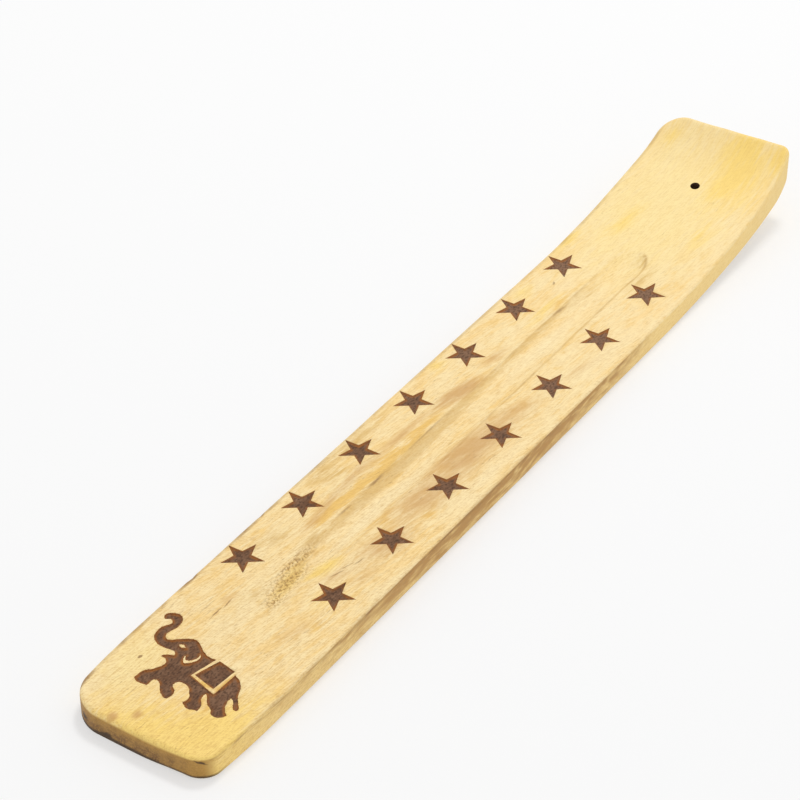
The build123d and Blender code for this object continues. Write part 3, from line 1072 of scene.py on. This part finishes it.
def wood_grain(tree, solid):
    """What the layers of the wood share: places, the way that a face points, and masks of the grain."""
    below = add(tree, "ShaderNodeAttribute", attribute_name="below").outputs["Fac"]
    parts = add(tree, "ShaderNodeSeparateXYZ", {0: solid}).outputs
    # The depth below the top takes the place of the height, so that the grain follows the bend of the board
    place = add(tree, "ShaderNodeCombineXYZ", {"X": parts["X"], "Y": parts["Y"], "Z": below})
    uneven = pushed(tree, place, 34, 10, 2.2, seed=3.0)
    slanted = add(tree, "ShaderNodeMapping", {"Vector": uneven, "Rotation": (0, 0, radians(7))})
    frayed = streaks(tree, slanted, 5.5, 0.9, 0.25, 0.75, seed=5.0, detail=4.0)
    normal = tree.nodes.new("ShaderNodeNewGeometry").outputs["Normal"]
    clear_ends = {"From Min": -70.0, "From Max": 110.0, "To Min": 1.2, "To Max": 0.5}
    return SimpleNamespace(
        solid=solid,
        below=below,
        parts=parts,
        place=place,
        uneven=uneven,
        slanted=slanted,
        facing=add(tree, "ShaderNodeSeparateXYZ", {0: normal}).outputs,
        fray=add(tree, "ShaderNodeMapRange", {"Value": frayed, "To Min": 0.2, "To Max": 1.8}),
        soft_fray=add(tree, "ShaderNodeMapRange", {"Value": frayed, "To Min": 0.65, "To Max": 1.35}),
        groove_rim_shade=add(tree, "ShaderNodeAttribute", attribute_name="groove_rim_shade").outputs["Fac"],
        # 1 near the top, for marks that the underside does not show
        surface=add(tree, "ShaderNodeMapRange", {"Value": below, "From Min": 2.6, "From Max": 1.6}),
        # Strength of the fine grain, which is clearer towards the flat end
        clear=add(tree, "ShaderNodeMapRange", {"Value": parts["X"], **clear_ends}),
    )


def top_figure(tree, grain, finishes):
    """Broad figure of the top: pale wood under golden, honey, olive and brown stains, with painted shade on
    the groove's left wall and rim, painted light over the raised end and a painted highlight on the near
    edge.
    """
    tone = streaks(tree, grain.uneven, 18, 6, 0.25, 0.70, seed=7.0, detail=5.0)
    blotches = streaks(tree, grain.uneven, 5, 2.4, 0.50, 0.72, seed=9.0, detail=3.0)
    groove_wall_shade = stains(tree, grain.place, GROOVE_WALL_SHADE)
    groove_wall_shade = add(tree, "ShaderNodeMath", {0: groove_wall_shade, 1: grain.surface}, operation="MULTIPLY")
    scorched = stains(tree, grain.place, SCORCHED_GAPS)
    scorched = add(tree, "ShaderNodeMath", {0: scorched, 1: grain.surface}, operation="MULTIPLY")
    layers = (
        (tone, grain.fray, finishes.golden, 0.95),
        (blotches, grain.fray, finishes.honey, 0.4),
        # The sunny stains hold painted light over the raised end
        (stains(tree, grain.uneven, SUNNY_AND_LIT_STAINS), grain.soft_fray, finishes.sunny_and_lit, 0.85),
        # The cream stains hold a painted highlight on the near edge
        (stains(tree, grain.uneven, CREAM_STAINS_AND_HIGHLIGHT), grain.soft_fray, finishes.cream_and_highlight, 0.75),
        (stains(tree, grain.uneven, AMBER_STAINS), grain.soft_fray, finishes.amber, 0.9),
        (stains(tree, grain.uneven, HONEY_STAINS), grain.fray, finishes.honey, 0.9),
        # The olive stains hold painted shade at the groove's edge and far tip
        (stains(tree, grain.uneven, OLIVE_STAINS_AND_SHADE), grain.fray, finishes.olive_and_shade, 0.7),
        # Painted shade on the groove's left wall
        (groove_wall_shade, grain.soft_fray, finishes.olive_and_shade, 0.62),
        # Painted shade at the groove's rim
        (grain.groove_rim_shade, grain.soft_fray, finishes.olive_and_shade, 0.6),
        (scorched, grain.soft_fray, finishes.honey, 0.95),
        (stains(tree, grain.uneven, BROWN_STAINS), grain.soft_fray, finishes.figure, 0.78),
    )
    wood = rgba(finishes.pale)
    for soft, fray, tint, strength in layers:
        wood = stained(tree, wood, soft, fray, tint, strength)
    return wood


def sawn_sides(tree, grain, finishes):
    """Sawn sides: yellow with brown streaks, and dark dashes under the top edge of the flat part, which are
    painted shade of that edge.
    """
    upper = add(
        tree, "ShaderNodeMapRange",
        {"Value": grain.below, "From Min": 0.5, "From Max": 5.0, "To Min": 1.3, "To Max": 0.65},
    )
    saw = streaks(tree, grain.uneven, 5, 1.1, 0.15, 0.70, seed=11.0, detail=5.0)
    saw = add(tree, "ShaderNodeMath", {0: saw, 1: 1.7, 2: 0.15}, operation="MULTIPLY_ADD")
    fray = add(tree, "ShaderNodeMath", {0: saw, 1: upper}, operation="MULTIPLY")
    brown = stains(tree, grain.uneven, SIDE_STAINS)
    wood = stained(tree, rgba(finishes.sides), brown, fray, finishes.side_streak, 0.9)
    gold = stains(tree, grain.uneven, SIDE_GOLD)
    wood = stained(tree, wood, gold, grain.soft_fray, finishes.amber, 0.75)
    # The dashes under the top edge are painted shade of the rounded edge above them, broken up by the saw
    # streaks
    under_edge = {"Value": grain.below, "From Min": 1.9, "From Max": 0.6, "To Max": 0.65}
    flat_part = {"Value": grain.parts["X"], "From Min": 55.0, "From Max": 10.0}
    dashes_and_shade = streaks(tree, grain.uneven, 5, 0.5, 0.44, 0.64, seed=15.0, detail=4.0)
    for limits in (under_edge, flat_part):
        limit = add(tree, "ShaderNodeMapRange", limits)
        dashes_and_shade = add(tree, "ShaderNodeMath", {0: dashes_and_shade, 1: limit}, operation="MULTIPLY")
    return mixed(tree, dashes_and_shade, wood, rgba(finishes.pores))


def sawn_ends(tree, grain, finishes):
    """Sawn ends: dark end grain, golden under the top edge and towards the right corner."""
    saw = streaks(tree, grain.place, 0.9, 2.2, 0.40, 0.62, seed=13.0, detail=4.0)
    wood = mixed(tree, saw, rgba(finishes.end_grain), rgba(finishes.end_streak))
    top_gilt = add(
        tree, "ShaderNodeMapRange", {"Value": grain.below, "From Min": 3.8, "From Max": 1.2, "To Max": 0.6}
    )
    corner_gilt = add(
        tree, "ShaderNodeMapRange",
        {"Value": grain.parts["Y"], "From Min": -7.0, "From Max": -17.0, "To Max": 0.75},
    )
    gilt = add(tree, "ShaderNodeMath", {0: top_gilt, 1: corner_gilt}, operation="MAXIMUM")
    return mixed(tree, gilt, wood, rgba(finishes.end_gilt))


def end_face(tree, grain):
    """1 on the face of the flat end, less on that of the raised end, which is paler, and 0 on the sides."""
    endwise = add(tree, "ShaderNodeMath", {0: grain.facing["X"]}, operation="ABSOLUTE")
    end = add(tree, "ShaderNodeMapRange", {"Value": endwise, "From Min": 0.25, "From Max": 0.75})
    strength = add(
        tree, "ShaderNodeMapRange",
        {"Value": grain.parts["X"], "From Min": -60.0, "From Max": 60.0, "To Min": 1.0, "To Max": 0.4},
    )
    return add(tree, "ShaderNodeMath", {0: end, 1: strength}, operation="MULTIPLY")


def fine_grain(tree, grain):
    """Fibres along the grain, and the same with sanding marks across the grain and specks."""
    # All three are drawn coarser than they are, so that they show
    fibres = streaks(tree, grain.slanted, 2.6, 0.32, 0.30, 0.70, seed=17.0, detail=3.0)
    across = add(tree, "ShaderNodeMapping", {"Vector": grain.place, "Rotation": (0, 0, radians(62))})
    sanding = streaks(tree, across, 1.8, 0.4, 0.30, 0.70, seed=19.0)
    specks = streaks(tree, grain.place, 0.5, 0.42, 0.30, 0.70, seed=23.0)
    fine = 0.0
    for layer, strength in ((fibres, 0.85), (sanding, 0.5), (specks, 0.45)):
        fine = add(tree, "ShaderNodeMath", {0: layer, 1: strength, 2: fine}, operation="MULTIPLY_ADD")
    fine = add(
        tree, "ShaderNodeMapRange", {"Value": fine, "From Min": 0.65, "From Max": 1.5, "To Max": 0.44}
    )
    return fibres, add(tree, "ShaderNodeMath", {0: fine, 1: grain.clear}, operation="MULTIPLY")


def dark_marks(tree, grain, side):
    """Pores, single dark lines, some of them painted shade at the groove's left edge, patches of painted
    shade at the groove's rim, and worn edges, on all but the sawn sides.
    """
    pores = streaks(tree, grain.slanted, 2.0, 0.4, 0.64, 0.74, seed=29.0, detail=1.0)
    pore_patches = streaks(tree, grain.uneven, 20, 7, 0.40, 0.62, seed=31.0)
    pores = add(tree, "ShaderNodeMath", {0: pores, 1: pore_patches}, operation="MULTIPLY")
    pores = add(tree, "ShaderNodeMath", {0: pores, 1: grain.clear}, operation="MULTIPLY")
    lines = stains(tree, pushed(tree, grain.place, 1.6, 0.9, 0.3, seed=37.0), DARK_LINES)
    lines = add(tree, "ShaderNodeMath", {0: lines, 1: grain.surface}, operation="MULTIPLY")
    # Patches of painted shade at the groove's rim
    rim_shade_patches = streaks(tree, grain.uneven, 6, 5, 0.44, 0.66, seed=39.0, detail=3.0)
    rim = add(tree, "ShaderNodeMath", {0: grain.groove_rim_shade, 1: rim_shade_patches}, operation="MULTIPLY")
    edge = add(tree, "ShaderNodeAttribute", attribute_name="edge").outputs["Fac"]
    worn = streaks(tree, grain.place, 7, 30, 0.34, 0.66, seed=41.0, detail=4.0)
    worn = add(tree, "ShaderNodeMath", {0: worn, 1: edge}, operation="MULTIPLY")
    dark = 0.0
    for layer, strength in ((pores, 0.4), (lines, 1.0), (rim, 0.3), (worn, 1.0)):
        dark = add(tree, "ShaderNodeMath", {0: layer, 1: strength, 2: dark}, operation="MULTIPLY_ADD")
    on_top = add(tree, "ShaderNodeMath", {0: 1.0, 1: side}, operation="SUBTRACT")
    return add(tree, "ShaderNodeMath", {0: dark, 1: on_top}, operation="MULTIPLY", use_clamp=True)


def flat_end_grime_and_shade(tree, grain):
    """Share of darkening along the bottom edge of the flat end, which is painted shade with grime, and of
    grime in its chips, weaker on faces that point down.
    """
    smeared = pushed(tree, grain.solid, 3, 3, 0.4, seed=43.0)
    smeared = add(tree, "ShaderNodeSeparateXYZ", {0: smeared}).outputs
    # Darker towards the bottom edge: painted shade where the end meets the table, with grime on it
    low = add(tree, "ShaderNodeMapRange", {"Value": smeared["Z"], "From Min": 1.35, "From Max": 0.75})
    face = add(tree, "ShaderNodeCombineXYZ", {"X": grain.parts["Y"], "Y": grain.parts["Z"]})
    chips = stains(tree, pushed(tree, face, 1.2, 1.2, 0.5, seed=45.0), END_CHIPS)
    grime_and_shade = add(tree, "ShaderNodeMath", {0: low, 1: chips}, operation="ADD", use_clamp=True)
    near_end = {"Value": smeared["X"], "From Min": -119.0, "From Max": -124.0, "To Max": 0.9}
    weaker_underneath = {"Value": grain.facing["Z"], "From Min": -0.95, "From Max": -0.5, "To Min": 0.2}
    for limits in (near_end, weaker_underneath):
        limit = add(tree, "ShaderNodeMapRange", limits)
        grime_and_shade = add(tree, "ShaderNodeMath", {0: grime_and_shade, 1: limit}, operation="MULTIPLY")
    return grime_and_shade


def mango_wood(finishes):
    """Sanded mango wood under a thin satin polish: pale yellow with brown streaks, pores and worn edges."""
    material, tree, solid = new_finish("sanded_mango_wood")
    grain = wood_grain(tree, solid)
    level = add(tree, "ShaderNodeMath", {0: grain.facing["Z"]}, operation="ABSOLUTE")
    side = add(tree, "ShaderNodeMapRange", {"Value": level, "From Min": 0.5, "From Max": 0.2})
    sides = sawn_sides(tree, grain, finishes)
    ends = sawn_ends(tree, grain, finishes)
    sawn = mixed(tree, end_face(tree, grain), sides, ends)
    wood = mixed(tree, side, top_figure(tree, grain, finishes), sawn)

    fibres, fine = fine_grain(tree, grain)
    dark = dark_marks(tree, grain, side)
    shown = add(tree, "ShaderNodeMath", {0: dark, 1: 0.75}, operation="MULTIPLY")
    torn = add(tree, "ShaderNodeAttribute", attribute_name="torn").outputs["Fac"]
    flecks = add(tree, "ShaderNodeMath", {0: torn, 1: 0.8}, operation="MULTIPLY")
    layers = (
        (fine, finishes.fibre),
        (shown, finishes.pores),
        (flecks, finishes.torn),
        # Painted shade with grime along the flat end's bottom edge, and grime in its chips
        (flat_end_grime_and_shade(tree, grain), finishes.dirt_and_shade),
    )
    for mask, tint in layers:
        wood = mixed(tree, mask, wood, rgba(tint))

    # The polish sinks into the fibres
    gloss = add(tree, "ShaderNodeMapRange", {"Value": fibres, "To Min": 0.48, "To Max": 0.64})
    relief = add(tree, "ShaderNodeMath", {0: dark, 1: 0.5, 2: fine}, operation="MULTIPLY_ADD")
    bump = add(
        tree, "ShaderNodeBump", {"Height": relief, "Strength": 0.35, "Distance": 0.06 * MM}, invert=True
    )
    shade(tree, {"Base Color": wood, "Roughness": gloss, "Specular IOR Level": 0.35, "Normal": bump})
    return material


def scorched_wall(finishes, marks):
    """Wood scorched by the engraving on the recess walls: orange brown, darker towards the floor, matt."""
    material, tree, place = new_finish("scorched_wood")
    below = add(tree, "ShaderNodeAttribute", attribute_name="below").outputs["Fac"]
    depth = add(tree, "ShaderNodeMapRange", {"Value": below, "From Max": marks.depth / MM})
    licks = streaks(tree, place, 0.8, 0.8, 0.30, 0.70, seed=47.0, detail=3.0)
    burnt = add(tree, "ShaderNodeMath", {0: depth, 1: licks}, operation="MULTIPLY")
    wall = mixed(tree, burnt, rgba(finishes.scorch), rgba(finishes.char))
    bump = add(tree, "ShaderNodeBump", {"Height": licks, "Strength": 0.4, "Distance": 0.05 * MM})
    shade(tree, {"Base Color": wall, "Roughness": 0.7, "Normal": bump})
    return material


def hole_shade_wall(finishes):
    """Wood in the stick hole, painted dark brown as painted shade of the hole, with drilling marks."""
    material, tree, place = new_finish("shaded_hole")
    rings = streaks(tree, place, 2.0, 0.4, 0.35, 0.65, seed=53.0)
    # Painted shade: the walls are coloured near black so that the hole shows dark
    wall = mixed(tree, rings, rgba(finishes.dirt_and_shade), rgba(finishes.char))
    bump = add(tree, "ShaderNodeBump", {"Height": rings, "Strength": 0.4, "Distance": 0.05 * MM})
    shade(tree, {"Base Color": wall, "Roughness": 0.8, "Normal": bump})
    return material


def char_finish(finishes):
    """Laser char: dark brown with paler ash and sooty specks, orange brown in places by the walls, matt."""
    material, tree, place = new_finish("laser_char")
    ashes = streaks(tree, place, 2.6, 1.6, 0.42, 0.66, seed=59.0, detail=5.0)
    scan_lines = streaks(tree, place, 1.4, 0.4, 0.50, 0.80, seed=61.0)
    ash = add(tree, "ShaderNodeMath", {0: ashes, 1: scan_lines}, operation="MAXIMUM")
    soot = streaks(tree, place, 0.8, 0.45, 0.46, 0.66, seed=67.0)
    rim = add(tree, "ShaderNodeAttribute", attribute_name="rim").outputs["Fac"]
    licks = streaks(tree, place, 3.0, 2.4, 0.34, 0.60, seed=71.0)
    browned = add(tree, "ShaderNodeMath", {0: rim, 1: licks}, operation="MULTIPLY")
    along = add(tree, "ShaderNodeSeparateXYZ", {0: place}).outputs["X"]
    paled = add(tree, "ShaderNodeMapRange", {"Value": along, "From Min": -40.0, "From Max": 90.0})
    sparks = streaks(tree, place, 0.34, 0.3, 0.64, 0.74, seed=73.0)
    layers = (
        (paled, finishes.ash, 0.75),
        (ash, finishes.ash, 0.6),
        (soot, finishes.soot, 0.65),
        (browned, finishes.scorch, 1.0),
        (sparks, finishes.ash, 0.8),
    )
    burnt = rgba(finishes.char)
    for mask, tint, strength in layers:
        amount = add(tree, "ShaderNodeMath", {0: mask, 1: strength}, operation="MULTIPLY")
        burnt = mixed(tree, amount, burnt, rgba(tint))
    gloss = add(tree, "ShaderNodeMapRange", {"Value": ash, "To Min": 0.62, "To Max": 0.85})
    bump = add(tree, "ShaderNodeBump", {"Height": soot, "Strength": 0.5, "Distance": 0.05 * MM})
    shade(tree, {"Base Color": burnt, "Roughness": gloss, "Specular IOR Level": 0.15, "Normal": bump})
    return material


# Stage


def seen_rays(tree):
    """1 for rays that show the background itself, to the eye or in a reflection, and 0 for its light."""
    rays = tree.nodes.new("ShaderNodeLightPath").outputs
    seen = rays["Is Camera Ray"]
    for kind in ("Is Glossy Ray", "Is Transmission Ray"):
        seen = add(tree, "ShaderNodeMath", {0: seen, 1: rays[kind]}, operation="MAXIMUM")
    return seen


def white_table(finishes, stage):
    """Matt white table top, whose own light thins the shadows that are seen on it."""
    material = bpy.data.materials.new("matt_white_table")
    tree = empty_tree(material)
    white = rgba(finishes.floor)
    matt = {"Base Color": white, "Roughness": 1.0, "Specular IOR Level": 0.0}
    shader = add(tree, "ShaderNodeBsdfPrincipled", matt)
    glow = add(tree, "ShaderNodeEmission", {"Color": white, "Strength": 1.0})
    lift = add(tree, "ShaderNodeMath", {0: seen_rays(tree), 1: stage.floor_lift}, operation="MULTIPLY")
    lifted = add(tree, "ShaderNodeMixShader", {0: lift, 1: shader, 2: glow})
    add(tree, "ShaderNodeOutputMaterial", {"Surface": lifted})
    return material


def add_floor(finishes, stage):
    """Floor under the holder."""
    mesh = bpy.data.meshes.new("floor")
    places = [(x * FLOOR_HALF, y * FLOOR_HALF, 0) for x, y in ((-1, -1), (1, -1), (1, 1), (-1, 1))]
    mesh.from_pydata(places, [], [(0, 1, 2, 3)])
    mesh.materials.append(white_table(finishes, stage))
    new_object("floor", mesh)


def studio_world(stage):
    """World that is white where it is seen and gives an even, weaker light from all round."""
    world = bpy.data.worlds.new("studio")
    tree = empty_tree(world)
    strength = add(
        tree, "ShaderNodeMapRange", {"Value": seen_rays(tree), "To Min": stage.sky, "To Max": 1.0}
    )
    light = add(tree, "ShaderNodeBackground", {"Color": (1, 1, 1, 1), "Strength": strength})
    add(tree, "ShaderNodeOutputWorld", {"Surface": light})
    return world


def aim(shape, place, target):
    """Puts a lamp or a camera at a place and turns it to a target."""
    shape.location = place
    shape.rotation_euler = (Vector(target) - Vector(place)).to_track_quat("-Z", "Y").to_euler()


def add_lamp(stage):
    """Round soft lamp that shines on the middle of the holder."""
    lamp = bpy.data.lights.new("soft_lamp", "AREA")
    lamp.shape = "DISK"
    lamp.size = stage.lamp_size
    lamp.energy = stage.lamp_power
    aim(new_object("soft_lamp", lamp), stage.lamp_place, (0, 0, 0))


def add_camera(stage):
    """Camera at the view of the photograph."""
    view = bpy.data.cameras.new("camera")
    view.lens = stage.camera_lens
    view.sensor_width = SENSOR_MM
    view.clip_start = NEAR_CLIP
    camera = new_object("camera", view)
    aim(camera, stage.camera_place, stage.camera_target)
    return camera


# Operators


class HOLDER_OT_board(bpy.types.Operator):
    """Shapes the wooden board, cuts its groove, stick hole and recesses, and finishes it"""

    bl_idname = "incense_holder.board"
    bl_label = "Board"

    def execute(self, context):
        scene = context.scene
        board, groove, marks = scene.holder_board, scene.holder_groove, scene.holder_marks
        finishes = scene.holder_finishes
        blank = new_object("board_blank", board_mesh(board, groove))
        blank.data.materials.append(mango_wood(finishes))
        scorch = scorched_wall(finishes, marks)
        tools = [star_prisms(nodes, board, marks, scorch) for nodes in STAR_ROWS.values()]
        tools += [figure_prism(node, marks, scorch) for node in FIGURES.values()]
        tools.append(hole_cutter(hole_shade_wall(finishes)))
        piece = new_object("board_wood", combine("board_wood", blank, tools, "DIFFERENCE"))
        remove(blank, *tools)
        paint_board(piece.data, board, groove)
        smooth(piece.data, radians(35))
        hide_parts("board")
        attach(piece, "root")
        return {"FINISHED"}


class HOLDER_OT_stars(bpy.types.Operator):
    """Fills the recesses of both rows of stars with char"""

    bl_idname = "incense_holder.stars"
    bl_label = "Stars"

    def execute(self, context):
        scene = context.scene
        board, marks = scene.holder_board, scene.holder_marks
        finish = char_finish(scene.holder_finishes)
        for name, nodes in STAR_ROWS.items():
            char_piece(name, star_prisms(nodes, board, marks, finish), nodes, board, marks, finish)
        return {"FINISHED"}


class HOLDER_OT_elephant(bpy.types.Operator):
    """Fills the recesses of the elephant and its saddle cloth with char"""

    bl_idname = "incense_holder.elephant"
    bl_label = "Elephant"

    def execute(self, context):
        scene = context.scene
        board, marks = scene.holder_board, scene.holder_marks
        finish = bpy.data.materials.get("laser_char") or char_finish(scene.holder_finishes)
        for name, node in FIGURES.items():
            char_piece(name, figure_prism(node, marks, finish), [node], board, marks, finish)
        return {"FINISHED"}


class HOLDER_OT_stage(bpy.types.Operator):
    """Sets up the floor, the soft light and the camera"""

    bl_idname = "incense_holder.stage"
    bl_label = "Stage"

    def execute(self, context):
        scene = context.scene
        stage = scene.holder_stage
        add_floor(scene.holder_finishes, stage)
        add_lamp(stage)
        scene.world = studio_world(stage)
        scene.camera = add_camera(stage)
        scene.view_settings.view_transform = "Standard"
        return {"FINISHED"}


class HOLDER_PT_panel(bpy.types.Panel):
    """Lists the steps that make the holder, with their sizes and colours"""

    bl_label = "Incense stick holder"
    bl_idname = "HOLDER_PT_panel"
    bl_space_type = "VIEW_3D"
    bl_region_type = "UI"
    bl_category = "Holder"

    def draw(self, context):
        for operator in OPERATORS:
            self.layout.operator(operator.bl_idname)
        for setting in SETTINGS:
            box = self.layout.box()
            group = getattr(context.scene, setting)
            for name in group.__annotations__:
                box.prop(group, name)


SETTINGS = {
    "holder_board": BoardSizes,
    "holder_groove": GrooveSizes,
    "holder_marks": MarkSizes,
    "holder_finishes": Finishes,
    "holder_stage": StageSettings,
}
OPERATORS = (HOLDER_OT_board, HOLDER_OT_stars, HOLDER_OT_elephant, HOLDER_OT_stage)


def register():
    """Registers the settings, the operators and the panel."""
    for made in (*SETTINGS.values(), *OPERATORS, HOLDER_PT_panel):
        bpy.utils.register_class(made)
    for name, group in SETTINGS.items():
        setattr(bpy.types.Scene, name, bpy.props.PointerProperty(type=group))


def unregister():
    """Takes back what register does."""
    for name in SETTINGS:
        delattr(bpy.types.Scene, name)
    for made in (HOLDER_PT_panel, *OPERATORS, *SETTINGS.values()):
        bpy.utils.unregister_class(made)


def main():
    """Builds the holder and its stage."""
    register()
    bpy.ops.incense_holder.board()
    bpy.ops.incense_holder.stars()
    bpy.ops.incense_holder.elephant()
    bpy.ops.incense_holder.stage()


if __name__ == "__main__":
    main()
